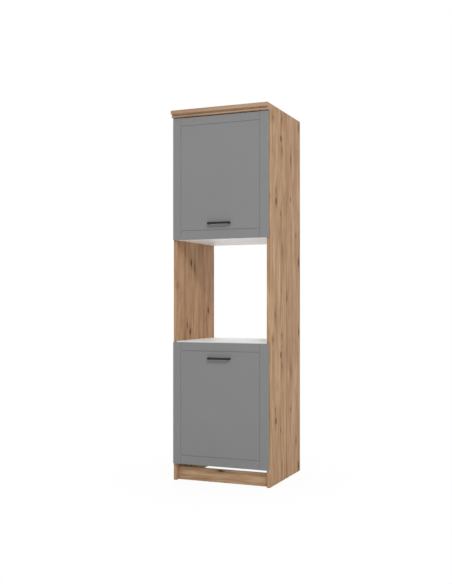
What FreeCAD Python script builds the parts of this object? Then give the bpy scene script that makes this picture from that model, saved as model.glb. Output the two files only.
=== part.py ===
import FreeCAD, Part
import os

# Tall cabinet for a built-in oven: two oak-look side panels, white boards between them, an open niche
# at working height, a framed door above it and another below it, a plinth and a cornice.
# Millimetres. X runs to the right, Z up, and the front faces -Y.

# Driving dimensions of the carcass
cabinet_width = 600.0
side_depth = 555.0
board = 18.0
back_board = 3.0
back_margin = 1.0
edge_ease = 0.6
glide_height = 3.0
glide_recess = 2.0
glide_radius = 8.0
glide_inset = 40.0

# Heights, stacked from the floor
foot_space = 100.0
lower_door_lift = 1.0
door_height = 711.0
niche_floor_reveal = 6.0
niche_height = 593.0
cornice_gap = 4.0
cornice_height = 40.0

# Depths
niche_floor_setback = 42.0
shelf_setback = 30.0
shelf_rear_gap = 8.0
shelf_side_play = 1.0
plinth_height = 76.0
plinth_thickness = 16.0
plinth_recess = 30.0

# Cornice section
cornice_projection = 40.0
bead_projection = 28.0
bead_height = 10.0
cove_recess = 6.0
cove_radius = 9.0
cornice_ease = 1.5

# Rails hidden at the top of the upper compartment
front_rail_height = 80.0
rear_rail_height = 100.0
wall_hole_spacing = 400.0
wall_hole_radius = 4.0

# Doors: two full-height stiles, two rails between them and a flush centre panel held in their grooves.
# Where two of them meet, their bevelled edges leave a V-joint on the front.
door_side_reveal = 4.0
door_gap = 2.5
door_thickness = 16.0
stile_width = 50.0
bottom_rail_width = 52.0
top_rail_width = 48.0
frame_outer_ease = 2.0
joint_bevel = 2.2
lip_thickness = 5.5
panel_thickness = 13.0
tongue_thickness = 5.0
tongue_depth = 8.0
tongue_play = 0.2

# Handles
handle_hole_spacing = 128.0
handle_leg = 8.0
handle_bar_height = 12.0
handle_bar_depth = 8.0
handle_projection = 27.0
handle_inset = 89.0
handle_corner_radius = 6.0
handle_edge_radius = 1.5

# Concealed hinges: a cup in the door, an arm on the side panel and a pin between them
hinge_inset = 100.0
cup_radius = 17.5
cup_depth = 13.0
cup_wall = 0.8
cup_edge_distance = 3.0
cup_flange = 1.0
flange_margin = 1.0
cup_screw_spacing = 48.0
pivot_from_edge = 6.8
pivot_from_back = 9.5
pin_radius = 1.5
pin_play = 0.05
eye_radius = 2.3
arm_thickness = 1.5
arm_throat_width = 7.0
arm_reach = 16.0
arm_width = 12.0
arm_length = 46.0
plate_setback = 37.0
plate_thickness = 3.0
plate_width = 18.0
plate_screw_spacing = 32.0
adjuster_radius = 2.0
adjuster_grip = 2.0
adjuster_offset = 12.0
adjuster_head_radius = 3.2
adjuster_head_height = 1.2

# Fasteners and fits
hole_play = 0.05
cam_radius = 7.5
cam_height = 12.0
cam_distance = 24.0
cam_bolt_radius = 3.0
cam_bolt_grip = 10.0
cam_bore_radius = 4.0
cam_inset = 60.0
cam_slot_width = 1.6
cam_slot_length = 9.0
cam_slot_depth = 2.0
dowel_radius = 4.0
dowel_length = 30.0
dowel_grip = 10.0
dowel_inset = 100.0
rail_dowel_inset = 20.0
euro_screw_radius = 2.5
euro_screw_length = 14.0
wood_screw_radius = 1.75
wood_screw_length = 13.0
screw_head_radius = 3.5
screw_head_height = 1.6
machine_screw_radius = 2.0
handle_screw_grip = 13.0
cornice_screw_length = 35.0
cornice_screw_inset = 27.0
cornice_screw_pitch = 170.0
nail_radius = 0.8
nail_length = 20.0
nail_head_radius = 2.2
nail_head_height = 1.0
nail_pitch = 150.0
shelf_pin_radius = 2.5
shelf_pin_length = 18.0
shelf_pin_grip = 10.0
shelf_pin_inset = 60.0
shelf_hole_pitch = 32.0
shelf_hole_count = 5
block_size = 22.0
block_height = 40.0
block_screw_offset = 8.0
buffer_radius = 4.0
buffer_clearance = 0.2
buffer_inset = 30.0

# Places that follow from those sizes, with Y measured from the front edges of the side panels
half_width = cabinet_width / 2
inner_half = half_width - board
panel_low = glide_height - glide_recess
bottom_low = foot_space
bottom_top = bottom_low + board
lower_door_low = foot_space + lower_door_lift
lower_door_top = lower_door_low + door_height
niche_floor_top = lower_door_top + niche_floor_reveal
niche_floor_low = niche_floor_top - board
niche_roof_low = niche_floor_top + niche_height
niche_roof_top = niche_roof_low + board
upper_door_low = niche_roof_low
upper_door_top = upper_door_low + door_height
cornice_low = upper_door_top + cornice_gap
cabinet_top = cornice_low + cornice_height
top_low = cabinet_top - board
short_depth = side_depth - niche_floor_setback
door_back = -door_gap
door_front = door_back - door_thickness
door_left = -half_width + door_side_reveal
door_right = half_width - door_side_reveal
panel_back = door_front + panel_thickness
tongue_front = door_front + lip_thickness
tongue_back = tongue_front + tongue_thickness
pivot_x = door_left + pivot_from_edge
pivot_y = door_back - pivot_from_back
plate_face = -inner_half + plate_thickness
arm_face = pivot_x + arm_reach + arm_thickness / 2
handle_front = door_front - handle_projection

# The origin is on the floor, at the middle of the whole cabinet's width and depth
front_reach = max(cornice_projection, -handle_front)
rear_reach = side_depth + back_board + nail_head_height
origin_y = (rear_reach - front_reach) / 2

vector = FreeCAD.Vector
along_x = vector(1, 0, 0)
along_y = vector(0, 1, 0)
along_z = vector(0, 0, 1)

# How close two coordinates have to be to count as one
tolerance = 1e-6

# Every finished piece by node name, and the holes to drill in each board
pieces = {}
holes = {}


def block(x, y, z):
    """A box between the low and high values of each axis."""
    size = (x[1] - x[0], y[1] - y[0], z[1] - z[0])
    return Part.makeBox(*size, vector(x[0], y[0], z[0]))


def rod(start, direction, radius, length):
    """A round bar from a start point."""
    return Part.makeCylinder(radius, length, start, direction)


def prism(points, sweep):
    """A flat outline of points, swept along a vector."""
    wire = Part.makePolygon(points + [points[0]])
    return Part.Face(wire).extrude(sweep)


def eased_front(shape, bevel):
    """A board with the four edges of its front face bevelled."""
    front = shape.BoundBox.YMin
    edges = [edge for edge in shape.Edges if abs(edge.CenterOfMass.y - front) < tolerance]
    return shape.makeChamfer(bevel, edges)


def drill(node, *tools):
    """Notes holes for a board, which are cut when the board is finished."""
    holes.setdefault(node, []).extend(tools)


def spread(low, high, pitch):
    """Evenly spaced values from low to high, no further apart than pitch."""
    count = max(1, int(-(-(high - low) // pitch)))
    return [low + (high - low) * step / count for step in range(count + 1)]


def screw(seat, direction, radius, length, head_radius, head_height):
    """A screw whose head stands on the seat point and whose shank runs on from it."""
    head = rod(seat - direction * head_height, direction, head_radius, head_height)
    return head.fuse(rod(seat, direction, radius, length)).removeSplitter()


# Boards of the carcass
sides = {"left_side_panel": -1, "right_side_panel": 1}
for side_name, side in sides.items():
    side_x = sorted((side * inner_half, side * half_width))
    panel = block(side_x, (0, side_depth), (panel_low, cabinet_top))
    pieces[side_name] = eased_front(panel, edge_ease)

between = (-inner_half, inner_half)
fixed_boards = {
    "bottom_panel": (bottom_low, short_depth, -1),
    "niche_floor_panel": (niche_floor_low, short_depth, -1),
    "niche_roof_panel": (niche_roof_low, side_depth, 1),
    "top_panel": (top_low, side_depth, -1),
}
for board_name, (low, depth, cam_side) in fixed_boards.items():
    pieces[board_name] = eased_front(block(between, (0, depth), (low, low + board)), edge_ease)

rails = {
    "front_rail": (0, top_low - front_rail_height),
    "rear_fixing_rail": (side_depth - board, top_low - rear_rail_height),
}
for rail_name, (rail_front, low) in rails.items():
    pieces[rail_name] = block(between, (rail_front, rail_front + board), (low, top_low))

# Cam locks, cam bolts and dowels that hold the boards between the sides
cam_locks = []
cam_bolts = []
dowels = []


def add_dowel(board_name, side_name, side, y, z):
    """One dowel half in a side panel and half in the end of a board."""
    outward = along_x * side
    start = vector(side * inner_half, y, z) - outward * (dowel_length - dowel_grip)
    dowels.append(rod(start, outward, dowel_radius, dowel_length))
    hole = rod(start, outward, dowel_radius + hole_play, dowel_length)
    drill(board_name, hole)
    drill(side_name, hole)


def add_cam(board_name, side_name, side, y, low, cam_side):
    """One cam lock in a board, and the bolt that it draws out of the side panel."""
    outward = along_x * side
    middle = low + board / 2
    face = low + board if cam_side > 0 else low
    into_board = along_z * -cam_side
    cam_x = side * (inner_half - cam_distance)
    cam_face = vector(cam_x, y, face)
    cam = rod(cam_face, into_board, cam_radius, cam_height)
    bolt_head = vector(cam_x, y, middle)
    bore = rod(bolt_head, outward, cam_bore_radius, cam_distance)
    slot_x = (cam_x - cam_slot_width / 2, cam_x + cam_slot_width / 2)
    slot_y = (y - cam_slot_length / 2, y + cam_slot_length / 2)
    recess = block(slot_x, slot_y, (face - cam_slot_depth, face + cam_slot_depth))
    cam_locks.append(cam.cut([bore, recess]))
    bolt = rod(bolt_head, outward, cam_bolt_radius, cam_distance + cam_bolt_grip)
    cam_bolts.append(bolt)
    drill(board_name, rod(cam_face, into_board, cam_radius + hole_play, cam_height), bore)
    drill(side_name, rod(bolt_head, outward, cam_bolt_radius + hole_play, cam_distance + cam_bolt_grip))


for side_name, side in sides.items():
    for board_name, (low, depth, cam_side) in fixed_boards.items():
        for y in (cam_inset, depth - cam_inset):
            add_cam(board_name, side_name, side, y, low, cam_side)
        for y in (dowel_inset, depth - dowel_inset):
            add_dowel(board_name, side_name, side, y, low + board / 2)
    for rail_name, (rail_front, low) in rails.items():
        for z in (low + rail_dowel_inset, top_low - rail_dowel_inset):
            add_dowel(rail_name, side_name, side, rail_front + board / 2, z)

pieces["cam_locks"] = Part.makeCompound(cam_locks)
pieces["cam_bolts"] = Part.makeCompound(cam_bolts)
pieces["dowels"] = Part.makeCompound(dowels)

# Back panels: one nailed over the rear edges above the niche, one set in behind the lower compartment
upper_back_x = (-half_width + back_margin, half_width - back_margin)
upper_back_z = (niche_roof_low + back_margin, cabinet_top - back_margin)
pieces["upper_back_panel"] = block(upper_back_x, (side_depth, side_depth + back_board), upper_back_z)
lower_back_z = (bottom_low + back_margin, niche_floor_top - back_margin)
pieces["lower_back_panel"] = block(between, (short_depth, short_depth + back_board), lower_back_z)

nails = []


def add_nail(back_name, carrier, x, rear, z):
    """One nail driven forward through a back panel into the rear edge of a board."""
    seat = vector(x, rear, z)
    nails.append(screw(seat, -along_y, nail_radius, nail_length, nail_head_radius, nail_head_height))
    hole = rod(seat, -along_y, nail_radius + hole_play, nail_length)
    drill(back_name, hole)
    drill(carrier, hole)


upper_rear = side_depth + back_board
lower_rear = short_depth + back_board
side_middle = half_width - board / 2
for side_name, side in sides.items():
    for z in spread(niche_roof_top + board, top_low - rear_rail_height - board, nail_pitch):
        add_nail("upper_back_panel", side_name, side * side_middle, upper_rear, z)
nail_span = inner_half - cam_inset
for x in spread(-nail_span, nail_span, nail_pitch):
    add_nail("upper_back_panel", "niche_roof_panel", x, upper_rear, niche_roof_low + board / 2)
    add_nail("upper_back_panel", "top_panel", x, upper_rear, top_low + board / 2)
    add_nail("lower_back_panel", "bottom_panel", x, lower_rear, bottom_low + board / 2)
    add_nail("lower_back_panel", "niche_floor_panel", x, lower_rear, niche_floor_low + board / 2)
pieces["back_panel_nails"] = Part.makeCompound(nails)

# Two holes through the rear rail and the back panel for the screws that tie the cabinet to the wall
wall_hole_z = top_low - rear_rail_height / 2
for x in (-wall_hole_spacing / 2, wall_hole_spacing / 2):
    start = vector(x, side_depth - board, wall_hole_z)
    wall_hole = rod(start, along_y, wall_hole_radius, board + back_board)
    drill("rear_fixing_rail", wall_hole)
    drill("upper_back_panel", wall_hole)

# Plinth board, set back under the lower door, with a moulded block behind each end
plinth_low = panel_low
plinth_top = plinth_low + plinth_height
plinth_rear = plinth_recess + plinth_thickness
plinth = block(between, (plinth_recess, plinth_rear), (plinth_low, plinth_top))
pieces["plinth_board"] = eased_front(plinth, edge_ease)
plinth_blocks = []
plinth_screws = []
block_middle = (plinth_low + plinth_top) / 2
block_z = (block_middle - block_height / 2, block_middle + block_height / 2)
for side_name, side in sides.items():
    block_x = sorted((side * inner_half, side * (inner_half - block_size)))
    corner = block(block_x, (plinth_rear, plinth_rear + block_size), block_z)
    middle_x = side * (inner_half - block_size / 2)
    middle_y = plinth_rear + block_size / 2
    to_plinth = vector(middle_x, plinth_rear + block_size, block_middle - block_screw_offset)
    to_side = vector(side * (inner_half - block_size), middle_y, block_middle + block_screw_offset)
    block_fixings = ((to_plinth, -along_y, "plinth_board"), (to_side, along_x * side, side_name))
    for seat, direction, board_name in block_fixings:
        length = block_size + wood_screw_length
        plinth_screws.append(
            screw(seat, direction, wood_screw_radius, length, screw_head_radius, screw_head_height))
        hole = rod(seat, direction, wood_screw_radius + hole_play, length)
        corner = corner.cut(hole)
        drill(board_name, hole)
    plinth_blocks.append(corner)
pieces["plinth_blocks"] = Part.makeCompound(plinth_blocks)
pieces["plinth_block_screws"] = Part.makeCompound(plinth_screws)

# Floor glides, nailed into shallow pockets under the side panels
glides = []
for side_name, side in sides.items():
    for y in (glide_inset, side_depth - glide_inset):
        foot = vector(side * side_middle, y, 0)
        disc = rod(foot, along_z, glide_radius, glide_height)
        nail = rod(foot, along_z, nail_radius, nail_length)
        glides.append(disc.fuse(nail).removeSplitter())
        pocket = rod(foot, along_z, glide_radius + hole_play, glide_height)
        drill(side_name, pocket, rod(foot, along_z, nail_radius + hole_play, nail_length))
pieces["floor_glides"] = Part.makeCompound(glides)

# Cornice: a bead above the door, a cove set back behind it, and a deeper fascia, in one strip across the width.
# The middle of the cove lies half way round its quarter circle.
bead_top = cornice_low + bead_height
cove_top = bead_top + cove_radius
cove_projection = bead_projection - cove_recess
cove_half_rise = cove_radius * 0.5 ** 0.5
cove_middle = vector(
    -half_width,
    -cove_projection - cove_radius + cove_half_rise,
    bead_top + cove_half_rise,
)


def cornice_point(projection, z):
    """A point of the cornice section at the left end, at a distance in front of the carcass."""
    return vector(-half_width, -projection, z)


cove_start = cornice_point(cove_projection, bead_top)
cove_end = cornice_point(cove_projection + cove_radius, cove_top)
cornice_corners = [
    cove_end,
    cornice_point(cornice_projection, cove_top),
    cornice_point(cornice_projection, cabinet_top - cornice_ease),
    cornice_point(cornice_projection - cornice_ease, cabinet_top),
    cornice_point(0, cabinet_top),
    cornice_point(0, cornice_low),
    cornice_point(bead_projection - cornice_ease, cornice_low),
    cornice_point(bead_projection, cornice_low + cornice_ease),
    cornice_point(bead_projection, bead_top - cornice_ease),
    cornice_point(bead_projection - cornice_ease, bead_top),
    cove_start,
]
cornice_edges = [Part.Arc(cove_start, cove_middle, cove_end).toShape()]
for line_start, line_end in zip(cornice_corners, cornice_corners[1:]):
    cornice_edges.append(Part.LineSegment(line_start, line_end).toShape())
pieces["cornice_moulding"] = Part.Face(Part.Wire(cornice_edges)).extrude(along_x * cabinet_width)

cornice_screws = []
cornice_screw_z = (cornice_low + top_low) / 2
cornice_screw_span = inner_half - cornice_screw_inset
for x in spread(-cornice_screw_span, cornice_screw_span, cornice_screw_pitch):
    seat = vector(x, board, cornice_screw_z)
    cornice_screws.append(
        screw(seat, -along_y, wood_screw_radius, cornice_screw_length, screw_head_radius, screw_head_height))
    hole = rod(seat, -along_y, wood_screw_radius + hole_play, cornice_screw_length)
    drill("front_rail", hole)
    drill("cornice_moulding", hole)
pieces["cornice_screws"] = Part.makeCompound(cornice_screws)

# One loose shelf in each compartment, on four pins in drilled rows
compartments = {
    "lower": (bottom_top, niche_floor_low, short_depth),
    "upper": (niche_roof_top, top_low, side_depth),
}
for level, (low, top, depth) in compartments.items():
    shelf_low = (low + top - board) / 2
    shelf_x = (-inner_half + shelf_side_play, inner_half - shelf_side_play)
    shelf_y = (shelf_setback, depth - shelf_rear_gap)
    shelf = block(shelf_x, shelf_y, (shelf_low, shelf_low + board))
    pieces[level + "_shelf"] = eased_front(shelf, edge_ease)
    pins = []
    for side_name, side in sides.items():
        outward = along_x * side
        for y in (shelf_y[0] + shelf_pin_inset, shelf_y[1] - shelf_pin_inset):
            wall = vector(side * inner_half, y, shelf_low - shelf_pin_radius)
            start = wall - outward * (shelf_pin_length - shelf_pin_grip)
            pins.append(rod(start, outward, shelf_pin_radius, shelf_pin_length))
            for step in range(shelf_hole_count):
                rise = (step - (shelf_hole_count - 1) / 2) * shelf_hole_pitch
                seat = wall + along_z * rise
                drill(side_name, rod(seat, outward, shelf_pin_radius + hole_play, shelf_pin_grip))
    pieces[level + "_shelf_pins"] = Part.makeCompound(pins)

# Doors
groove_front = tongue_front - tongue_play
groove_back = tongue_back + tongue_play
groove_depth = tongue_depth + tongue_play
inner_left = door_left + stile_width
inner_right = door_right - stile_width


def frame_section(outer, inner):
    """The section of a frame member, as pairs of place across it and depth, with its groove and bevels."""
    inward = 1 if inner > outer else -1
    groove_floor = inner - inward * groove_depth
    return [
        (outer, door_back),
        (inner, door_back),
        (inner, groove_back),
        (groove_floor, groove_back),
        (groove_floor, groove_front),
        (inner, groove_front),
        (inner, door_front + joint_bevel),
        (inner - inward * joint_bevel, door_front),
        (outer + inward * frame_outer_ease, door_front),
        (outer, door_front + frame_outer_ease),
    ]


def make_stile(outer, inner, low):
    """A full-height frame member."""
    points = [vector(across, depth, low) for across, depth in frame_section(outer, inner)]
    return prism(points, along_z * door_height)


def make_rail(outer, inner):
    """A frame member between the stiles, with a bevel and a tongue at each end."""
    points = [vector(inner_left, depth, across) for across, depth in frame_section(outer, inner)]
    rail = prism(points, along_x * (inner_right - inner_left))
    low = min(outer, inner)
    for end, along_rail in ((inner_left, 1), (inner_right, -1)):
        bevel_corners = [
            vector(end, door_front, low),
            vector(end + along_rail * joint_bevel, door_front, low),
            vector(end, door_front + joint_bevel, low),
        ]
        rail = rail.cut(prism(bevel_corners, along_z * abs(inner - outer)))
    inward = 1 if inner > outer else -1
    tongue_z = sorted((outer, inner - inward * (groove_depth + tongue_play)))
    tongue_x = (inner_left - tongue_depth, inner_right + tongue_depth)
    tongue = block(tongue_x, (tongue_front, tongue_back), tongue_z)
    return rail.fuse(tongue).removeSplitter()


def make_centre_panel(low, top):
    """The panel that floats in the grooves of the frame, flush with it and bevelled round its front."""
    field_x = (inner_left + tongue_play, inner_right - tongue_play)
    inner_low = low + bottom_rail_width
    inner_top = top - top_rail_width
    field_z = (inner_low + tongue_play, inner_top - tongue_play)
    field = eased_front(block(field_x, (door_front, panel_back), field_z), joint_bevel)
    lip_x = (inner_left - tongue_depth, inner_right + tongue_depth)
    lip_z = (inner_low - tongue_depth, inner_top + tongue_depth)
    lip = block(lip_x, (tongue_front, tongue_back), lip_z)
    return field.fuse(lip).removeSplitter()


def make_handle(z):
    """A bar on two legs, bent from one piece, with softened edges."""
    outer_x = handle_hole_spacing / 2 + handle_leg / 2
    inner_x = outer_x - handle_leg
    low = z - handle_bar_height / 2
    bar_back = handle_front + handle_bar_depth
    outline = [
        vector(-outer_x, door_front, low),
        vector(-outer_x, handle_front, low),
        vector(outer_x, handle_front, low),
        vector(outer_x, door_front, low),
        vector(inner_x, door_front, low),
        vector(inner_x, bar_back, low),
        vector(-inner_x, bar_back, low),
        vector(-inner_x, door_front, low),
    ]
    bar = prism(outline, along_z * handle_bar_height)
    upright = [edge for edge in bar.Edges if edge.BoundBox.ZLength > tolerance]
    corners = [edge for edge in upright if abs(edge.CenterOfMass.y - handle_front) < tolerance]
    bar = bar.makeFillet(handle_corner_radius, corners)
    shown = []
    for edge in bar.Edges:
        level = edge.BoundBox.ZLength < tolerance
        on_foot = edge.BoundBox.YMin > door_front - tolerance
        if level and not on_foot:
            shown.append(edge)
    return bar.makeFillet(handle_edge_radius, shown)


def make_cup(z):
    """A pressed steel cup with a flange for two screws, and a hole on each side for the pin."""
    centre_x = door_left + cup_edge_distance + cup_radius
    mouth = vector(centre_x, door_back, z)
    cup = rod(mouth, -along_y, cup_radius, cup_depth)
    ring = rod(mouth, along_y, cup_radius + flange_margin, cup_flange)
    wing_half = cup_screw_spacing / 2 + screw_head_radius + flange_margin
    wing_x = (centre_x - screw_head_radius - flange_margin, centre_x + screw_head_radius + flange_margin)
    wing = block(wing_x, (door_back, door_back + cup_flange), (z - wing_half, z + wing_half))
    hollow_depth = cup_flange + cup_depth - cup_wall
    hollow = rod(mouth + along_y * cup_flange, -along_y, cup_radius - cup_wall, hollow_depth)
    pin_hole = rod(pin_start(z), along_z, pin_radius + pin_play, pin_length)
    screw_holes = []
    for screw_z in cup_screw_heights(z):
        seat = vector(centre_x, door_back + cup_flange, screw_z)
        screw_holes.append(rod(seat, -along_y, wood_screw_radius + hole_play, cup_flange))
    return cup.fuse([ring, wing]).removeSplitter().cut([hollow, pin_hole] + screw_holes)


def cup_screw_heights(z):
    """The two screws of a cup, above and below it."""
    return (z - cup_screw_spacing / 2, z + cup_screw_spacing / 2)


pin_far_side = cup_edge_distance + cup_radius - pivot_from_edge + pin_radius
pin_length = 2 * ((cup_radius ** 2 - pin_far_side ** 2) ** 0.5 - hole_play)


def pin_start(z):
    """The lower end of a hinge pin, whose ends sit in the wall of the cup."""
    return vector(pivot_x, pivot_y, z - pin_length / 2)


def make_arm(z):
    """A bent steel arm: an eye round the pin, a throat out of the cup, and a channel on the plate."""
    throat_z = (z - arm_throat_width / 2, z + arm_throat_width / 2)
    half = arm_thickness / 2
    eye = rod(vector(pivot_x, pivot_y, throat_z[0]), along_z, eye_radius, arm_throat_width)
    throat = block((pivot_x, arm_face), (pivot_y - half, pivot_y + half), throat_z)
    channel_x = (plate_face, arm_face)
    channel_front = plate_setback - arm_length / 2
    channel_y = (channel_front, channel_front + arm_length)
    neck = block((arm_face - arm_thickness, arm_face), (pivot_y - half, channel_front), throat_z)
    channel = block(channel_x, channel_y, (z - arm_width / 2, z + arm_width / 2))
    inside_z = (z - arm_width / 2 + arm_thickness, z + arm_width / 2 - arm_thickness)
    inside_y = (channel_y[0] + arm_thickness, channel_y[1])
    inside = block((channel_x[0], channel_x[1] - arm_thickness), inside_y, inside_z)
    bore = rod(vector(pivot_x, pivot_y, throat_z[0]), along_z, pin_radius + pin_play, arm_throat_width)
    adjuster_holes = [adjuster_hole(seat) for seat in adjuster_seats(z)]
    arm = eye.fuse([throat, neck, channel]).removeSplitter()
    return arm.cut([inside, bore] + adjuster_holes)


adjuster_length = arm_face - plate_face + adjuster_grip


def adjuster_seats(z):
    """The points on an arm where the heads of its two adjusting screws sit."""
    depths = (plate_setback - adjuster_offset, plate_setback + adjuster_offset)
    return [vector(arm_face, depth, z) for depth in depths]


def adjuster_hole(seat):
    """The hole of one adjusting screw, through the arm and into the plate."""
    return rod(seat, -along_x, adjuster_radius + hole_play, adjuster_length)


def make_plate(z):
    """A cross-shaped steel plate on the side panel: a bar under the arm and wings for two screws."""
    plate_x = (-inner_half, plate_face)
    bar_y = (plate_setback - arm_length / 2, plate_setback + arm_length / 2)
    bar = block(plate_x, bar_y, (z - arm_width / 2, z + arm_width / 2))
    wing_half = plate_screw_spacing / 2 + plate_width / 2
    wing_y = (plate_setback - plate_width / 2, plate_setback + plate_width / 2)
    wings = block(plate_x, wing_y, (z - wing_half, z + wing_half))
    plate_holes = [adjuster_hole(seat) for seat in adjuster_seats(z)]
    for seat in plate_screw_seats(z):
        plate_holes.append(rod(seat, -along_x, euro_screw_radius + hole_play, plate_thickness))
    return bar.fuse(wings).removeSplitter().cut(plate_holes)


def plate_screw_seats(z):
    """The points where the two screw heads of a plate sit."""
    heights = (z - plate_screw_spacing / 2, z + plate_screw_spacing / 2)
    return [vector(plate_face, plate_setback, height) for height in heights]


hinge_plate_screws = []
hinge_adjusting_screws = []
doors = {
    "lower": (lower_door_low, lower_door_top, lower_door_top - handle_inset),
    "upper": (upper_door_low, upper_door_top, upper_door_low + handle_inset),
}
for level, (low, top, handle_z) in doors.items():
    door = level + "_door"
    pieces[door + "_hinge_stile"] = make_stile(door_left, inner_left, low)
    pieces[door + "_free_stile"] = make_stile(door_right, inner_right, low)
    pieces[door + "_bottom_rail"] = make_rail(low, low + bottom_rail_width)
    pieces[door + "_top_rail"] = make_rail(top, top - top_rail_width)
    pieces[door + "_panel"] = make_centre_panel(low, top)

    handle = make_handle(handle_z)
    screws = []
    for x in (-handle_hole_spacing / 2, handle_hole_spacing / 2):
        seat = vector(x, panel_back, handle_z)
        length = panel_thickness + handle_screw_grip
        screws.append(
            screw(seat, -along_y, machine_screw_radius, length, screw_head_radius, screw_head_height))
        hole = rod(seat, -along_y, machine_screw_radius + hole_play, length)
        handle = handle.cut(hole)
        drill(door + "_panel", hole)
    pieces[level + "_handle"] = handle
    pieces[level + "_handle_screws"] = Part.makeCompound(screws)

    cups = []
    pins = []
    arms = []
    plates = []
    cup_screws = []
    for z in (low + hinge_inset, top - hinge_inset):
        cups.append(make_cup(z))
        pins.append(rod(pin_start(z), along_z, pin_radius, pin_length))
        arms.append(make_arm(z))
        plates.append(make_plate(z))
        centre_x = door_left + cup_edge_distance + cup_radius
        mouth = vector(centre_x, door_back, z)
        drill(door + "_hinge_stile", rod(mouth, -along_y, cup_radius + hole_play, cup_depth))
        for screw_z in cup_screw_heights(z):
            seat = vector(centre_x, door_back + cup_flange, screw_z)
            cup_screws.append(
                screw(seat, -along_y, wood_screw_radius, wood_screw_length, screw_head_radius, cup_flange))
            hole = rod(seat, -along_y, wood_screw_radius + hole_play, wood_screw_length)
            drill(door + "_hinge_stile", hole)
        for seat in plate_screw_seats(z):
            plate_screw = screw(
                seat, -along_x, euro_screw_radius, euro_screw_length, screw_head_radius, screw_head_height)
            hinge_plate_screws.append(plate_screw)
            drill("left_side_panel", rod(seat, -along_x, euro_screw_radius + hole_play, euro_screw_length))
        for seat in adjuster_seats(z):
            adjuster = screw(
                seat, -along_x, adjuster_radius, adjuster_length, adjuster_head_radius, adjuster_head_height)
            hinge_adjusting_screws.append(adjuster)
    pieces[level + "_hinge_cups"] = Part.makeCompound(cups)
    pieces[level + "_hinge_pins"] = Part.makeCompound(pins)
    pieces[level + "_hinge_arms"] = Part.makeCompound(arms)
    pieces[level + "_hinge_plates"] = Part.makeCompound(plates)
    pieces[level + "_hinge_cup_screws"] = Part.makeCompound(cup_screws)

    buffers = []
    for z in (low + buffer_inset, top - buffer_inset):
        seat = vector(half_width - board / 2, door_back, z)
        buffers.append(rod(seat, along_y, buffer_radius, door_gap - buffer_clearance))
    pieces[level + "_door_buffers"] = Part.makeCompound(buffers)
pieces["hinge_plate_screws"] = Part.makeCompound(hinge_plate_screws)
pieces["hinge_adjusting_screws"] = Part.makeCompound(hinge_adjusting_screws)

# Finish: drill the boards, move the whole cabinet to its origin and write one file for each piece
os.makedirs("parts", exist_ok=True)
for node, shape in pieces.items():
    if node in holes:
        shape = shape.cut(holes[node])
    shape = shape.copy()
    shape.translate(vector(0, -origin_y, 0))
    if not shape.isValid() or not all(solid.isClosed() for solid in shape.Solids):
        print("not a valid closed solid:", node)
    print(node, len(shape.Solids), "solids", round(shape.Volume / 1000, 1), "cm3")
    shape.exportStep("parts/" + node + ".step")
print("hinge axis at", round(pivot_x, 3), round(pivot_y - origin_y, 3))
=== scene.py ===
import bmesh
import bpy
import math
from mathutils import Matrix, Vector


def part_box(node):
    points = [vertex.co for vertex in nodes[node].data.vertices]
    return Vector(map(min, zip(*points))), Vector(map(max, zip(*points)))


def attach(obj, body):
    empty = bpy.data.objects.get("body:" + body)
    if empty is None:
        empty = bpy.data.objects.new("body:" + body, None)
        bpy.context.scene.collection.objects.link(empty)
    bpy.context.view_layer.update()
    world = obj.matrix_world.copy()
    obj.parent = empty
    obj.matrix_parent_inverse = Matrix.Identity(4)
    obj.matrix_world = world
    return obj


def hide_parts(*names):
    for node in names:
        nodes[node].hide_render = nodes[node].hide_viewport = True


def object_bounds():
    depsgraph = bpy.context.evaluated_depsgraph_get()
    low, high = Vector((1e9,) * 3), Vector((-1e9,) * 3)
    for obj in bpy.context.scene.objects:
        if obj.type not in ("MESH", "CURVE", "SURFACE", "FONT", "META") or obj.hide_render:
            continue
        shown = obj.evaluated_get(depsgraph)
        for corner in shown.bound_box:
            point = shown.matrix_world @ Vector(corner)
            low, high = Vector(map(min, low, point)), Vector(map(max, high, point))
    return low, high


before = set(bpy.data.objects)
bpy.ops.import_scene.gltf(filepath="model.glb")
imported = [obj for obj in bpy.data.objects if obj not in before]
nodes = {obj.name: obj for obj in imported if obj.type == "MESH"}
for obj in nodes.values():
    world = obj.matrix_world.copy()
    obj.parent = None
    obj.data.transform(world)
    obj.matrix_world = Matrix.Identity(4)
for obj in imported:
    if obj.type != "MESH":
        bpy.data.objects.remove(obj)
cad_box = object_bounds()


# Side panels: two chipboard boards that carry everything else, with a knotty oak print under melamine on
# both faces and an edging of the same print. The grain stands upright, and only the rear edges are bare.
millimetre = 0.001

# A colour mix takes its share and its two colours at these inputs, and gives the result at this output
mix_share = 0
mix_under = 6
mix_over = 7
mix_result = 2


def linear(hex_colour):
    """An sRGB hex colour as linear red, green, blue and alpha."""
    channels = []
    for start in (1, 3, 5):
        value = int(hex_colour[start:start + 2], 16) / 255
        channels.append(value / 12.92 if value <= 0.04045 else ((value + 0.055) / 1.055) ** 2.4)
    return (*channels, 1.0)


def connect(owner, node, inputs):
    """Sets each input of a node to a value, or links it to another node's output."""
    for name, value in inputs.items():
        if isinstance(value, bpy.types.NodeSocket):
            owner.node_tree.links.new(value, node.inputs[name])
        else:
            node.inputs[name].default_value = value


def add_node(owner, kind, settings, inputs):
    """Adds a node to a material or the world, with its settings and its inputs."""
    node = owner.node_tree.nodes.new(kind)
    for name, value in settings.items():
        setattr(node, name, value)
    connect(owner, node, inputs)
    return node


def new_finish(name):
    """An empty material, its shader, and the node that gives each point's place and direction."""
    material = bpy.data.materials.new(name)
    material.use_nodes = True
    coordinates = add_node(material, "ShaderNodeTexCoord", {}, {})
    return material, material.node_tree.nodes["Principled BSDF"], coordinates


def dress(material, *node_names):
    """Gives the named pieces of the frame their finish."""
    for node_name in node_names:
        slots = nodes[node_name].data.materials
        slots.clear()
        slots.append(material)


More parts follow.
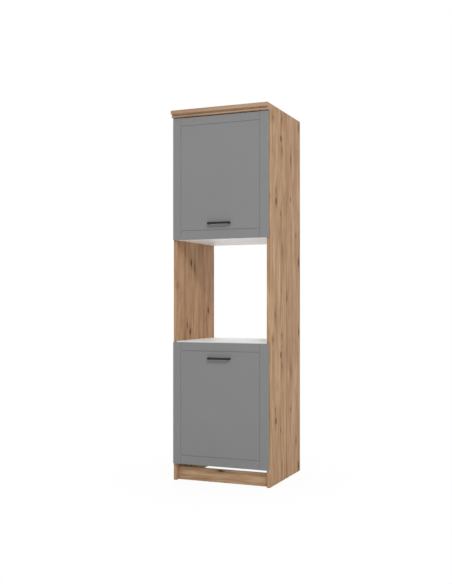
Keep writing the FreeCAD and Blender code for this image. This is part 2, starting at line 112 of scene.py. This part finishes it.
def raw_chipboard(material, place):
    """The colour of a sawn chipboard edge: pale and brown chips about 2.5 mm wide."""
    chip_size = 2.5 * millimetre
    chips = add_node(material, "ShaderNodeTexVoronoi", {}, {"Vector": place, "Scale": 1 / chip_size})
    chip_shade = add_node(material, "ShaderNodeSeparateColor", {}, {0: chips.outputs["Color"]})
    chip_colour = add_node(material, "ShaderNodeMix", {"data_type": "RGBA"}, {
        mix_share: chip_shade.outputs[0],
        mix_under: linear("#8f7048"),
        mix_over: linear("#cdb083"),
    })
    return chip_colour.outputs[mix_result]


def bare_behind(material, normal, face_colour, bare_colour):
    """The face colour, but the bare board's where the surface looks backwards and has no film or edging."""
    looks_back = 0.5
    direction = add_node(material, "ShaderNodeSeparateXYZ", {}, {0: normal})
    rear = add_node(material, "ShaderNodeMath", {"operation": "GREATER_THAN"},
                    {0: direction.outputs["Y"], 1: looks_back})
    mixed = add_node(material, "ShaderNodeMix", {"data_type": "RGBA"},
                     {mix_share: rear.outputs[0], mix_under: face_colour, mix_over: bare_colour})
    return mixed.outputs[mix_result]


def grain_marks(material, place, wide, long, apart, detail, roughness):
    """A noise drawn out along the grain, in marks about wide by long millimetres. apart is how far in the
    noise the marks of one strip lie from those of another."""
    stretch = (1 / (wide * millimetre), 1 / (long * millimetre), apart)
    stretched = add_node(material, "ShaderNodeVectorMath", {"operation": "MULTIPLY"},
                         {0: place, 1: stretch})
    marks = add_node(material, "ShaderNodeTexNoise", {},
                     {"Vector": stretched.outputs[0], "Scale": 1, "Detail": detail, "Roughness": roughness})
    return marks.outputs["Fac"]


def knotty_oak(name, board, along, across, depth, shown, pale, brown, cut, knots):
    """Oak print under a matt melamine: pale strips with drawn-out growth lines, streaks, pores and knots.
    along, across and depth are the board's axes, and shown is 1 where the face that shows looks along depth
    and -1 where it looks the other way. pale and brown are the two tones of the ground, and cut moves the
    strips and the grain across by that many millimetres, so that boards differ. Each knot has its place
    across and along, its half width and half length, all in millimetres, and then its faintness."""
    material, shader, coordinates = new_finish(name)
    place = coordinates.outputs["Object"]
    normal = coordinates.outputs["Normal"]
    axes = add_node(material, "ShaderNodeSeparateXYZ", {}, {0: place})
    direction = add_node(material, "ShaderNodeSeparateXYZ", {}, {0: normal})
    low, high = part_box(board)
    start = low["XYZ".index(across)]
    face = (high if shown > 0 else low)["XYZ".index(depth)]

    # The print runs on round the edging, and on the hidden face it is another stretch of the roll
    hidden_shift = 430 * millimetre
    looks_away = 0.5
    inward = add_node(material, "ShaderNodeMath", {"operation": "ADD"},
                      {0: axes.outputs[depth], 1: -face - start})
    wide = add_node(material, "ShaderNodeMath", {"operation": "ADD"},
                    {0: inward.outputs[0], 1: axes.outputs[across]}).outputs[0]
    turned = add_node(material, "ShaderNodeMath", {"operation": "MULTIPLY"},
                      {0: direction.outputs[depth], 1: -shown})
    hidden_face = add_node(material, "ShaderNodeMath", {"operation": "GREATER_THAN"},
                           {0: turned.outputs[0], 1: looks_away})
    long = add_node(material, "ShaderNodeMath", {"operation": "MULTIPLY_ADD"},
                    {0: hidden_face.outputs[0], 1: hidden_shift, 2: axes.outputs[along]}).outputs[0]

    # The printing roller is 1260 mm round, so every knot comes again at that distance
    roller_start = -80 * millimetre
    roller_length = 1260 * millimetre
    rolled = add_node(material, "ShaderNodeMath", {"operation": "WRAP"},
                      {0: long, 1: roller_start + roller_length, 2: roller_start})
    print_place = add_node(material, "ShaderNodeCombineXYZ", {}, {0: wide, 1: rolled.outputs[0]}).outputs[0]
    nearest = None
    for knot_across, knot_along, half_width, half_length, faintness in knots:
        stretch = (1 / (half_width * millimetre), 1 / (half_length * millimetre), 0)
        offset = (-knot_across / half_width, -knot_along / half_length, faintness)
        reach = add_node(material, "ShaderNodeVectorMath", {"operation": "MULTIPLY_ADD"},
                         {0: print_place, 1: stretch, 2: offset})
        distance = add_node(material, "ShaderNodeVectorMath", {"operation": "LENGTH"},
                            {0: reach.outputs[0]})
        if nearest is None:
            nearest = distance.outputs["Value"]
        else:
            nearest = add_node(material, "ShaderNodeMath", {"operation": "MINIMUM"},
                               {0: nearest, 1: distance.outputs["Value"]}).outputs[0]

    # A knot is a dark core in a brown ring, and small tears along the grain break up its edges
    tear_reach = 1.1
    tears = grain_marks(material, print_place, wide=5, long=25, apart=1, detail=3, roughness=0.6)
    torn = add_node(material, "ShaderNodeMath", {"operation": "MULTIPLY_ADD"},
                    {0: tears, 1: tear_reach, 2: nearest}).outputs[0]
    knot_core = add_node(material, "ShaderNodeMapRange", {"interpolation_type": "SMOOTHSTEP"},
                         {"Value": torn, "From Min": 0.9, "From Max": 1.9, "To Min": 1, "To Max": 0})
    knot_ring = add_node(material, "ShaderNodeMapRange", {"interpolation_type": "SMOOTHSTEP"},
                         {"Value": torn, "From Min": 1.1, "From Max": 4.0, "To Min": 1, "To Max": 0})

    # Strips about 75 mm wide, each with its own tone and its own stretch of grain
    strip_width = 75 * millimetre
    sheet = add_node(material, "ShaderNodeMath", {"operation": "ADD"},
                     {0: wide, 1: cut * millimetre}).outputs[0]
    strips = add_node(material, "ShaderNodeTexVoronoi", {"voronoi_dimensions": "1D"},
                      {"W": sheet, "Scale": 1 / strip_width})
    strip_draw = add_node(material, "ShaderNodeSeparateColor", {}, {0: strips.outputs["Color"]})

    # The grain wanders in waves, 9 to a metre across and 2.4 along, and bends round the knots
    wave_width = 1000 / 9
    wave_length = 1000 / 2.4
    wander_reach = 40 * millimetre
    knot_bend = 10 * millimetre
    wave_place = add_node(material, "ShaderNodeCombineXYZ", {},
                          {0: sheet, 1: long, 2: strip_draw.outputs[0]})
    waves = grain_marks(material, wave_place.outputs[0], wave_width, wave_length,
                        apart=9, detail=3, roughness=0.5)
    wandered = add_node(material, "ShaderNodeMath", {"operation": "MULTIPLY_ADD"},
                        {0: waves, 1: wander_reach, 2: sheet})
    bent = add_node(material, "ShaderNodeMath", {"operation": "MULTIPLY_ADD"},
                    {0: knot_ring.outputs[0], 1: knot_bend, 2: wandered.outputs[0]})
    grain_place = add_node(material, "ShaderNodeCombineXYZ", {},
                           {0: bent.outputs[0], 1: long, 2: strip_draw.outputs[0]}).outputs[0]

    # Marks along the grain, by width and length. Real pores are finer, and are drawn 1.1 mm wide to show.
    patches = grain_marks(material, grain_place, wide=40, long=260, apart=11, detail=3, roughness=0.6)
    streaks = grain_marks(material, grain_place, wide=15, long=230, apart=17, detail=4, roughness=0.65)
    pores = grain_marks(material, grain_place, wide=1.1, long=35, apart=23, detail=2, roughness=0.5)
    growth = grain_marks(material, grain_place, wide=5, long=620, apart=29, detail=3, roughness=0.6)

    # How strongly each mark is inked
    patch_share = add_node(material, "ShaderNodeMapRange", {},
                           {"Value": patches, "From Min": 0.34, "From Max": 0.66})
    strip_share = add_node(material, "ShaderNodeMath", {"operation": "MULTIPLY"},
                           {0: strip_draw.outputs[1], 1: 0.4})
    growth_share = add_node(material, "ShaderNodeMapRange", {},
                            {"Value": growth, "From Min": 0.46, "From Max": 0.7, "To Max": 0.55})
    streak_share = add_node(material, "ShaderNodeMapRange", {},
                            {"Value": streaks, "From Min": 0.5, "From Max": 0.74, "To Max": 0.6})
    pore_marks = add_node(material, "ShaderNodeMapRange", {},
                          {"Value": pores, "From Min": 0.55, "From Max": 0.72})
    pore_share = add_node(material, "ShaderNodeMath", {"operation": "MULTIPLY"},
                          {0: pore_marks.outputs[0], 1: 0.3})
    ring_share = add_node(material, "ShaderNodeMath", {"operation": "MULTIPLY"},
                          {0: knot_ring.outputs[0], 1: 0.38})

    # The ground in its two tones, and one ink after another over it, with the knots last
    ground = add_node(material, "ShaderNodeMix", {"data_type": "RGBA"},
                      {mix_share: patch_share.outputs[0], mix_under: linear(brown), mix_over: linear(pale)})
    colour = ground.outputs[mix_result]
    inks = [
        (strip_share, "#ab8265"),
        (growth_share, "#826247"),
        (streak_share, "#826047"),
        (pore_share, "#6c4f3a"),
        (ring_share, "#7b5539"),
        (knot_core, "#3a2416"),
    ]
    for share, ink in inks:
        inked = add_node(material, "ShaderNodeMix", {"data_type": "RGBA"},
                         {mix_share: share.outputs[0], mix_under: colour, mix_over: linear(ink)})
        colour = inked.outputs[mix_result]

    # The press sinks the pores a little and leaves them duller than the ground
    pore_sink = -0.6
    relief_height = 0.2 * millimetre
    relief = add_node(material, "ShaderNodeMath", {"operation": "MULTIPLY_ADD"},
                      {0: pore_marks.outputs[0], 1: pore_sink, 2: streaks})
    bump = add_node(material, "ShaderNodeBump", {},
                    {"Height": relief.outputs[0], "Strength": 0.25, "Distance": relief_height})
    dullness = add_node(material, "ShaderNodeMapRange", {},
                        {"Value": pore_marks.outputs[0], "To Min": 0.58, "To Max": 0.75})
    connect(material, shader, {
        "Base Color": bare_behind(material, normal, colour, raw_chipboard(material, place)),
        "Roughness": dullness.outputs[0],
        "Normal": bump.outputs[0],
        "Specular IOR Level": 0.1,
    })
    return material


# Knots are placed from the panel's front edge and from the floor. The last two on each panel have no end:
# they are faint dark streaks that run its whole height.
right_knots = [
    (207, 850, 8, 26, 0.6),
    (192, 739, 10, 20, 0.0),
    (210, 679, 8, 22, 0.55),
    (376, 640, 8, 40, 0.5),
    (100, 424, 7, 30, 0.6),
    (106, 364, 11, 22, 0.0),
    (370, 404, 7, 14, 0.5),
    (189, 302, 7, 20, 0.55),
    (212, 90, 7, 45, 0.55),
    (524, 33, 10, 30, 0.1),
    (524, 866, 9, 35, 0.4),
    (51, 835, 14, 18, 0.8),
    (298, 1075, 8, 45, 0.5),
    (91, 974, 7, 30, 0.55),
    (473, 195, 7, 20, 0.6),
    (194, 600, 8, 9000, 1.25),
    (296, 600, 7, 9000, 1.4),
]
left_knots = [
    (206, 28, 9, 26, 0.2),
    (256, 5, 8, 40, 0.65),
    (16, 1145, 8, 12, 0.8),
    (414, 1120, 7, 16, 1.0),
    (461, 993, 10, 22, 0.0),
    (437, 941, 6, 40, 0.8),
    (149, 907, 8, 22, 0.55),
    (190, 867, 9, 24, 0.05),
    (330, 640, 6, 34, 0.55),
    (80, 560, 7, 45, 0.7),
    (270, 380, 7, 16, 0.4),
    (500, 300, 8, 60, 0.75),
    (120, 600, 8, 9000, 1.3),
    (385, 600, 7, 9000, 1.35),
]

# Oak laminate gives the eye warm tan strips with brown lines and a few dark knots, and a dull sheen. The
# left panel's shown face is its inner one, which closes the niche.
right_oak = knotty_oak("right_oak_laminate", "right_side_panel", along="Z", across="Y", depth="X", shown=1,
                       pale="#c8aa84", brown="#a37e5c", cut=6850, knots=right_knots)
# The left panel's copy is drawn paler and redder than the right's. That is painted light: it stands in for
# the brighter, warmer light bounced between the boards inside the niche.
left_oak_with_painted_light = knotty_oak("left_oak_laminate_painted_light", "left_side_panel", along="Z", across="Y", depth="X", shown=1,
                      pale="#c7a581", brown="#ad8462", cut=8220, knots=left_knots)
dress(right_oak, "right_side_panel")
dress(left_oak_with_painted_light, "left_side_panel")


# Boards between the sides: chipboard with white melamine, pressed satin, and white edging on all but the
# rear edges. Cam locks and dowels hold them, and two of them are the floor and the roof of the oven niche.
def one_colour_finish(name, colour, grit, roughness, gloss, bare_board=None):
    """A film, coat or moulding of one colour, with a fine grit and faint clouds of tone. gloss is its
    specular level, and bare_board draws the colour of the board where it is left bare behind. Real grit is
    about 0.2 mm wide, and it is drawn three to eight times as coarse, so that it shows."""
    material, shader, coordinates = new_finish(name)
    place = coordinates.outputs["Object"]
    cloud_size = 200 * millimetre
    grit_height = 0.1 * millimetre
    grains = add_node(material, "ShaderNodeTexNoise", {}, {"Vector": place, "Scale": 1 / grit, "Detail": 2})
    clouds = add_node(material, "ShaderNodeTexNoise", {},
                      {"Vector": place, "Scale": 1 / cloud_size, "Detail": 2})
    tone = add_node(material, "ShaderNodeMapRange", {}, {
        "Value": clouds.outputs["Fac"],
        "From Min": 0.3,
        "From Max": 0.7,
        "To Min": 0.97,
        "To Max": 1.0,
    })
    tinted = add_node(material, "ShaderNodeMix", {"data_type": "RGBA", "blend_type": "MULTIPLY"},
                      {mix_share: 1.0, mix_under: linear(colour), mix_over: tone.outputs[0]})
    shown = tinted.outputs[mix_result]
    if bare_board:
        shown = bare_behind(material, coordinates.outputs["Normal"], shown, bare_board(material, place))
    bump = add_node(material, "ShaderNodeBump", {},
                    {"Height": grains.outputs["Fac"], "Strength": 0.12, "Distance": grit_height})
    connect(material, shader, {
        "Base Color": shown,
        "Normal": bump.outputs[0],
        "Roughness": roughness,
        "Specular IOR Level": gloss,
    })
    return material


# Pressed melamine gives the eye a clean, faintly cool white with a soft satin sheen. The two rails have
# edging behind too, and the boards show their chips there.
melamine_white = "#f6f8f9"
melamine_grit = 0.8 * millimetre
melamine_roughness = 0.42
melamine_gloss = 0.4
white_board = one_colour_finish("white_melamine_board", melamine_white, melamine_grit, melamine_roughness,
                                melamine_gloss, bare_board=raw_chipboard)
white_rail = one_colour_finish("white_melamine_rail", melamine_white, melamine_grit, melamine_roughness,
                               melamine_gloss)
dress(white_board, "bottom_panel", "niche_floor_panel", "niche_roof_panel", "top_panel",
      "lower_shelf", "upper_shelf")
dress(white_rail, "front_rail", "rear_fixing_rail")


# Dowels: turned beech pegs, 8 mm thick, pressed into the ends of the boards and into the sides. They place
# each board, and the cams beside them draw it tight.
# Bare turned beech gives the eye a warm, dry, pale tan with no gloss.
beech = one_colour_finish("turned_beech", "#d3ab7c", grit=1.0 * millimetre, roughness=0.6, gloss=0.3)
dress(beech, "dowels")


# Back panels: hardboard 3 mm thick, lacquered white inside and raw brown fibre behind. One is nailed on
# behind the upper compartment, and the other is set in between the sides behind the lower one.
def raw_hardboard(material, place):
    """The colour of raw hardboard: matted brown fibres about 4 mm long, in clouds about 60 mm wide."""
    fibre_length = 4 * millimetre
    cloud_size = 60 * millimetre
    cloud_share = 0.5
    fibres = add_node(material, "ShaderNodeTexNoise", {},
                      {"Vector": place, "Scale": 1 / fibre_length, "Detail": 4, "Roughness": 0.75})
    clouds = add_node(material, "ShaderNodeTexNoise", {},
                      {"Vector": place, "Scale": 1 / cloud_size, "Detail": 4, "Roughness": 0.7})
    both = add_node(material, "ShaderNodeMath", {"operation": "MULTIPLY_ADD"},
                    {0: clouds.outputs["Fac"], 1: cloud_share, 2: fibres.outputs["Fac"]})
    shade = add_node(material, "ShaderNodeMapRange", {},
                     {"Value": both.outputs[0], "From Min": 0.5, "From Max": 1.0})
    brown = add_node(material, "ShaderNodeMix", {"data_type": "RGBA"}, {
        mix_share: shade.outputs[0],
        mix_under: linear("#7b5b3e"),
        mix_over: linear("#96724f"),
    })
    return brown.outputs[mix_result]


# Lacquered hardboard gives the eye a flat, slightly warm white inside, and matted brown behind
white_hardboard = one_colour_finish("white_lacquered_hardboard", "#e4e3df", grit=1.5 * millimetre,
                                    roughness=0.55, gloss=0.3, bare_board=raw_hardboard)
dress(white_hardboard, "upper_back_panel", "lower_back_panel")


# Plinth: a chipboard board that stands back under the lower door, between the sides, on corner blocks.
# It has the sides' oak laminate, with the grain along the cabinet's width, drawn a little paler than theirs
# as painted light that lightens it in its place back under the door.
# Its knots are placed from its lower edge and from the middle of the cabinet.
plinth_knots = [
    (68, -12, 6, 26, 0.3),
    (24, -190, 5, 40, 0.8),
]
# The plinth's paler tones are painted light: they lighten the plinth where it stands back under the door
plinth_oak_with_painted_light = knotty_oak("plinth_oak_laminate_painted_light", "plinth_board", along="X", across="Z", depth="Y", shown=-1,
                        pale="#ceae8c", brown="#ac8a69", cut=2563, knots=plinth_knots)
dress(plinth_oak_with_painted_light, "plinth_board")


# Cornice: one length of moulded fibreboard over the upper door, wrapped in oak laminate with its grain
# along the length. Screws through the front rail behind hold it, and its tone is greyer than the sides'.
# The one knot of its print falls on the hidden face.
cornice_knots = [
    (20, 700, 5, 30, 0.5),
]
cornice_oak = knotty_oak("cornice_oak_laminate", "cornice_moulding", along="X", across="Z", depth="Y",
                         shown=-1, pale="#bba389", brown="#a88d75", cut=2097, knots=cornice_knots)
dress(cornice_oak, "cornice_moulding")


# Cams, bolts, nails and shelf pins: turned and pressed steel with a bright zinc plate. They draw the
# boards together, fasten the back panels and carry the shelves.
def plated_steel(name, colour, roughness):
    """Plated steel, tumbled to an even sheen that varies a little over about 1 mm."""
    material, shader, coordinates = new_finish(name)
    sheen_size = 1 * millimetre
    brighter = 0.04
    duller = 0.05
    polish = add_node(material, "ShaderNodeTexNoise", {},
                      {"Vector": coordinates.outputs["Object"], "Scale": 1 / sheen_size, "Detail": 3})
    sheen = add_node(material, "ShaderNodeMapRange", {}, {
        "Value": polish.outputs["Fac"],
        "To Min": roughness - brighter,
        "To Max": roughness + duller,
    })
    connect(material, shader, {
        "Base Color": linear(colour),
        "Roughness": sheen.outputs[0],
        "Metallic": 1.0,
    })
    return material


# Bright zinc gives the eye a cool silver with blurred highlights
zinc = plated_steel("bright_zinc_plate", "#c9ccd0", roughness=0.35)
dress(zinc, "cam_locks", "cam_bolts", "back_panel_nails", "lower_shelf_pins", "upper_shelf_pins")


# Screws: zinc-plated steel with a rolled thread, and a pan head with a pressed cross recess. They hold the
# plinth blocks, the cornice, the hinges and the handles, each as large as the solid that it stands for.
def separate_solids(node_name):
    """The corners of each separate solid in a piece of the frame."""
    weld = 0.001 * millimetre
    work = bmesh.new()
    work.from_mesh(nodes[node_name].data)
    bmesh.ops.remove_doubles(work, verts=work.verts, dist=weld)
    seen = set()
    solids = []
    for first in work.verts:
        if first in seen:
            continue
        seen.add(first)
        reached = [first]
        for corner in reached:
            for edge in corner.link_edges:
                other = edge.other_vert(corner)
                if other not in seen:
                    seen.add(other)
                    reached.append(other)
        solids.append([corner.co.copy() for corner in reached])
    work.free()
    return solids


def measure_screw(corners):
    """A screw's seat, the way its head looks, and the radius and the length of its head and of its shank."""
    rim_share = 0.95
    below_seat = 0.1 * millimetre
    low = Vector([min(values) for values in zip(*corners)])
    high = Vector([max(values) for values in zip(*corners)])
    centre = (low + high) / 2
    sizes = high - low
    axis = min(range(3), key=lambda index: abs(sizes[index - 1] - sizes[index - 2]))
    head_radius = sizes[axis - 1] / 2
    rim = []
    inside = []
    for corner in corners:
        offset = corner - centre
        height = offset[axis]
        offset[axis] = 0
        if offset.length > rim_share * head_radius:
            rim.append(height)
        else:
            inside.append((offset.length, height))
    looks = 1 if sum(rim) > 0 else -1
    seat_height = min(height * looks for height in rim)
    shank_radius = max(radius for radius, height in inside if height * looks < seat_height - below_seat)
    towards = Vector([looks if index == axis else 0 for index in range(3)])
    seat = centre + towards * seat_height
    half_length = sizes[axis] / 2
    return seat, towards, head_radius, half_length - seat_height, shank_radius, half_length + seat_height


def add_screw(work, thread, seat, towards, head_radius, head_height, shank_radius, shank_length):
    """One screw, as rows of corners from its tip up its thread to the top of its head, and its recess."""
    pitch, tip_length, tip_share = thread
    sides = 16
    root_radius = 0.78 * shank_radius
    neck_length = 0.5 * shank_radius
    thread_length = shank_length - tip_length - neck_length
    turns = max(1, round(thread_length / pitch))
    rows = [[(0, -shank_length)] * (sides + 1)]
    rows.append([(tip_share * root_radius, -shank_length)] * (sides + 1))
    for half_turn in range(-2, 2 * turns + 1):
        row = []
        for step in range(sides + 1):
            climbed = min(max(half_turn / 2 + step / sides, 0), turns)
            crest = half_turn % 2 * min(climbed, turns - climbed, 1)
            radius = root_radius + crest * (shank_radius - root_radius)
            row.append((radius, tip_length - shank_length + thread_length * climbed / turns))
        rows.append(row)
    flat_radius = 0.7 * head_radius
    rim_height = 0.45 * head_height
    outline = [(shank_radius, 0), (head_radius, 0)]
    for angle in (0, math.pi / 6, math.pi / 3, math.pi / 2):
        outline.append((flat_radius + (head_radius - flat_radius) * math.cos(angle),
                        rim_height + (head_height - rim_height) * math.sin(angle)))
    rows += [[point] * (sides + 1) for point in outline]
    turn = Vector((0, 0, 1)).rotation_difference(towards)

    def corner(x, y, height):
        """A corner at a place measured from the seat, with the height along the screw."""
        return work.verts.new(seat + turn @ Vector((x, y, height)))

    grid = []
    for row in rows:
        angles = [2 * math.pi * step / sides for step in range(sides + 1)]
        grid.append([corner(radius * math.cos(angle), radius * math.sin(angle), height)
                     for (radius, height), angle in zip(row, angles)])
    for lower, upper in zip(grid, grid[1:]):
        for step in range(sides):
            work.faces.new((lower[step], lower[step + 1], upper[step + 1], upper[step]))

    # The recess: a cross of twelve corners in the flat of the head, tapering to half its size at the bottom
    arm = 0.52 * head_radius
    half_width = 0.15 * head_radius
    taper = 0.5
    recess_floor = 0.1 * head_height
    quarter_cross = [(arm, -half_width), (arm, half_width), (half_width, half_width)]
    mouth = []
    bottom = []
    for quarter in range(4):
        cosine = (1, 0, -1, 0)[quarter]
        sine = (0, 1, 0, -1)[quarter]
        for x, y in quarter_cross:
            turned_x = cosine * x - sine * y
            turned_y = sine * x + cosine * y
            mouth.append(corner(turned_x, turned_y, head_height))
            bottom.append(corner(taper * turned_x, taper * turned_y, recess_floor))
    flat = grid[-1][:sides]
    eighth = sides // 8
    for quarter in range(4):
        first = quarter * sides // 4
        left, right, inner, after = [mouth[(3 * quarter + index) % 12] for index in range(4)]
        work.faces.new((flat[first - 1], flat[first], flat[first + 1], right, left))
        work.faces.new((*flat[first + 1:first + eighth + 1], inner, right))
        work.faces.new((*flat[first + eighth:first + 2 * eighth], after, inner))
    for index in range(12):
        following = (index + 1) % 12
        work.faces.new((mouth[index], mouth[following], bottom[following], bottom[index]))
    work.faces.new(bottom)


def cross_head_screws(body, node_name, thread):
    """The screws of one node, as one piece that rides on a body. thread is the pitch, the length of the
    tip, and the tip's end as a share of the shank, which is 0 for a point."""
    weld = 0.002 * millimetre
    crease = math.radians(35)
    work = bmesh.new()
    for corners in separate_solids(node_name):
        add_screw(work, thread, *measure_screw(corners))
    bmesh.ops.remove_doubles(work, verts=work.verts, dist=weld)
    bmesh.ops.recalc_face_normals(work, faces=work.faces)
    for face in work.faces:
        face.smooth = True
    for edge in work.edges:
        edge.smooth = edge.calc_face_angle(0) < crease
    mesh = bpy.data.meshes.new(node_name + "_cross_head")
    work.to_mesh(mesh)
    work.free()
    mesh.materials.append(zinc)
    screws = bpy.data.objects.new(node_name + "_cross_head", mesh)
    bpy.context.scene.collection.objects.link(screws)
    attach(screws, body)
    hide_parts(node_name)


wood_thread = (1.8 * millimetre, 4.0 * millimetre, 0.0)
machine_thread = (0.7 * millimetre, 0.5 * millimetre, 0.75)
cross_head_screws("carcass", "plinth_block_screws", wood_thread)
cross_head_screws("carcass", "cornice_screws", wood_thread)
cross_head_screws("carcass", "hinge_plate_screws", wood_thread)
cross_head_screws("carcass", "hinge_adjusting_screws", machine_thread)
for level in ("upper", "lower"):
    cross_head_screws(level + "_door", level + "_hinge_cup_screws", wood_thread)
    cross_head_screws(level + "_door", level + "_handle_screws", machine_thread)


# Plinth blocks and floor glides: moulded polypropylene. The blocks are screwed into the corners behind the
# plinth, and the glides are nailed on under the sides.
# Moulded polypropylene gives the eye a pale warm grey with a waxy, half-matt sheen.
moulded = one_colour_finish("moulded_polypropylene", "#c9c7c0", grit=1.2 * millimetre, roughness=0.5,
                            gloss=0.5)
dress(moulded, "plinth_blocks", "floor_glides")


# Concealed hinges: two to each door, of pressed steel with a satin nickel plate. Their cups are set into
# the door, and their arms reach in from the mounting plates on the left side panel.
# Satin nickel gives the eye a warm silver, smoother and brighter than the zinc.
nickel = plated_steel("satin_nickel_plate", "#cfcac2", roughness=0.28)
for level in ("upper", "lower"):
    for piece in ("arms", "plates", "cups", "pins"):
        dress(nickel, f"{level}_hinge_{piece}")


# Doors: each is two stiles, two rails and a centre panel of fibreboard, with a grey foil over each piece.
# The panel's tongues sit in grooves of the frame, and the bevelled edges leave thin V-joints.
# Matt foil gives the eye an even mid grey, with a broad faint sheen and no reflections.
grey_foil = one_colour_finish("matt_grey_foil", "#808080", grit=0.9 * millimetre, roughness=0.5, gloss=0.3)
for level in ("upper", "lower"):
    for piece in ("hinge_stile", "free_stile", "bottom_rail", "top_rail", "panel"):
        dress(grey_foil, f"{level}_door_{piece}")


# Door buffers: small soft pads of clear gel on the inside of the doors, where they close on the carcass.
# They are stuck on, and keep the door from knocking.
# Clear gel gives the eye a pale, glossy drop, drawn here as a pale grey one.
buffer_gel = one_colour_finish("clear_buffer_gel", "#d9dbdb", grit=1.0 * millimetre, roughness=0.3,
                               gloss=0.5)
dress(buffer_gel, "upper_door_buffers", "lower_door_buffers")


# Handles: die-cast bars that lie across the doors, each held by two screws through the door from behind.
# They are powder coated, which covers the casting in one even skin.
# Matt black powder coat gives the eye a near black with a soft grey sheen along its rounded edges.
black_powder = one_colour_finish("matt_black_powder_coat", "#1b1b1b", grit=0.6 * millimetre,
                                 roughness=0.45, gloss=0.3)
dress(black_powder, "upper_handle", "lower_handle")


# Studio floor: a wide sheet of white paper, matt, which lies flat under the cabinet. It keeps the soft
# shadow near the cabinet, and is plain white further off.
def seen_as_background(owner):
    """1 for a ray that shows the background, to the camera or in metal or glass, and 0 for other rays."""
    path = add_node(owner, "ShaderNodeLightPath", {}, {})
    seen = add_node(owner, "ShaderNodeMath", {"operation": "MAXIMUM"},
                    {0: path.outputs["Is Camera Ray"], 1: path.outputs["Is Glossy Ray"]})
    seen_anyhow = add_node(owner, "ShaderNodeMath", {"operation": "MAXIMUM"},
                           {0: seen.outputs[0], 1: path.outputs["Is Transmission Ray"]})
    return seen_anyhow.outputs[0]


floor_size = 40.0
shadow_near = 0.3
shadow_end = 1.3
white_in_shadow = 0.93
bpy.ops.mesh.primitive_plane_add(size=floor_size)
floor = bpy.context.object
floor.name = "studio_floor"
white_paper, paper_shader, paper_coordinates = new_finish("white_studio_floor")
connect(white_paper, paper_shader, {
    "Base Color": linear("#fafafa"),
    "Roughness": 0.9,
    "Specular IOR Level": 0.1,
})
from_middle = add_node(white_paper, "ShaderNodeVectorMath", {"operation": "LENGTH"},
                       {0: paper_coordinates.outputs["Object"]})
far_off = add_node(white_paper, "ShaderNodeMapRange", {"interpolation_type": "SMOOTHSTEP"},
                   {"Value": from_middle.outputs["Value"], "From Min": shadow_near, "From Max": shadow_end})
whiteness = add_node(white_paper, "ShaderNodeMapRange", {},
                     {"Value": far_off.outputs[0], "To Min": white_in_shadow, "To Max": 1.0})
white_share = add_node(white_paper, "ShaderNodeMath", {"operation": "MULTIPLY"},
                       {0: seen_as_background(white_paper), 1: whiteness.outputs[0]})
plain_white = add_node(white_paper, "ShaderNodeEmission", {}, {"Color": (1, 1, 1, 1), "Strength": 1.0})
paper_mix = add_node(white_paper, "ShaderNodeMixShader", {},
                     {0: white_share.outputs[0], 1: paper_shader.outputs[0], 2: plain_white.outputs[0]})
connect(white_paper, white_paper.node_tree.nodes["Material Output"], {"Surface": paper_mix.outputs[0]})
floor.data.materials.append(white_paper)


# Studio light: a white room, brighter overhead than at the floor and brightest behind the cabinet, and one
# lamp high at the right front. The camera, metal and glass see the room as plain white.
light_low = 0.53
light_overhead = 0.72
light_behind = 1.4
backdrop_edge = 0.2
backdrop_full = 0.8
room = bpy.data.worlds.new("studio_world")
bpy.context.scene.world = room
room.use_nodes = True
room_coordinates = add_node(room, "ShaderNodeTexCoord", {}, {})
room_axes = add_node(room, "ShaderNodeSeparateXYZ", {}, {0: room_coordinates.outputs["Generated"]})
around = add_node(room, "ShaderNodeMapRange", {},
                  {"Value": room_axes.outputs["Z"], "To Min": light_low, "To Max": light_overhead})
behind = add_node(room, "ShaderNodeMapRange", {"interpolation_type": "SMOOTHSTEP"},
                  {"Value": room_axes.outputs["Y"], "From Min": backdrop_edge, "From Max": backdrop_full})
room_light = add_node(room, "ShaderNodeMapRange", {},
                      {"Value": behind.outputs[0], "To Min": around.outputs[0], "To Max": light_behind})
room_strength = add_node(room, "ShaderNodeMapRange", {}, {
    "Value": seen_as_background(room),
    "To Min": room_light.outputs[0],
    "To Max": 1.0,
})
connect(room, room.node_tree.nodes["Background"], {
    "Color": (1, 1, 1, 1),
    "Strength": room_strength.outputs[0],
})

lamp_place = Vector((3.7, -6.1, 5.8))
lamp_size = 1.0
lamp_watts = 252
lamp_light = bpy.data.lights.new("key_lamp", "AREA")
lamp_light.size = lamp_size
lamp_light.energy = lamp_watts
lamp = bpy.data.objects.new("key_lamp", lamp_light)
bpy.context.scene.collection.objects.link(lamp)
cabinet_middle = (cad_box[0] + cad_box[1]) / 2
lamp.location = lamp_place
lamp.rotation_euler = (cabinet_middle - lamp_place).to_track_quat("-Z", "Y").to_euler()


# Camera: level, about half as high as the cabinet, to its right and about 5 m away, as in the photograph.
# Its focal length and its horizon are in the photograph's pixels, and its place is in metres.
image_height = 584
focal_pixels = 860.3
horizon_row = 301.9
camera_right = 1.93567
camera_before_panels = 4.55669
camera_height = 1.04803
camera_turn = math.radians(22.66)
panel_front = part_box("right_side_panel")[0].y
camera_data = bpy.data.cameras.new("photo_camera")
camera_data.sensor_width = 36.0
camera_data.lens = camera_data.sensor_width * focal_pixels / image_height
camera_data.shift_y = (horizon_row - image_height / 2) / image_height
camera = bpy.data.objects.new("photo_camera", camera_data)
bpy.context.scene.collection.objects.link(camera)
camera.location = (camera_right, panel_front - camera_before_panels, camera_height)
camera.rotation_euler = (math.pi / 2, 0, camera_turn)
bpy.context.scene.camera = camera
bpy.context.scene.view_settings.view_transform = "Standard"
